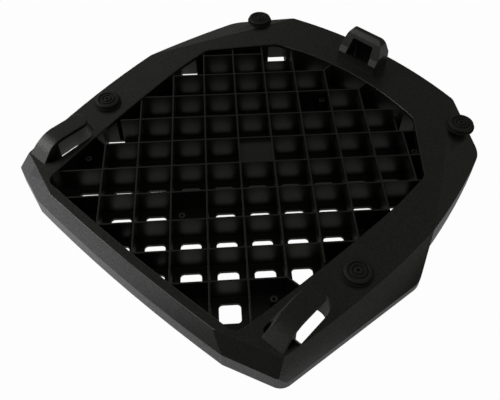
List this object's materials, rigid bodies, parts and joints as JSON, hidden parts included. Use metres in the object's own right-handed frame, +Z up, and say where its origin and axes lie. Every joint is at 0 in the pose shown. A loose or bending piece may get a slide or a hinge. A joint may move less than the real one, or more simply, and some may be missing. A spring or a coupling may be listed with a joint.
{
  "type": "top case mounting plate",
  "caption": "Moulded plastic plate with a deep rib lattice, raised rim, front hook tongues and a rear latch loop, on which a motorcycle top case is locked.",
  "frame": {"origin": "centre of the plate's outline, on the flat underside that lies on the luggage rack", "axes": "+X to the rider's right, +Y to the rear of the motorcycle, where the latch loop is, +Z up"},
  "size_m": [0.3354, 0.328, 0.0579],
  "materials": {
    "plate": "fine grained, satin black",
    "pad": "smooth black rubber"
  },
  "bodies": {
    "root": {"plate": "plate", "pad_front_left": "pad", "pad_front_right": "pad", "pad_rear_left": "pad", "pad_rear_right": "pad"}
  },
  "joints": []
}
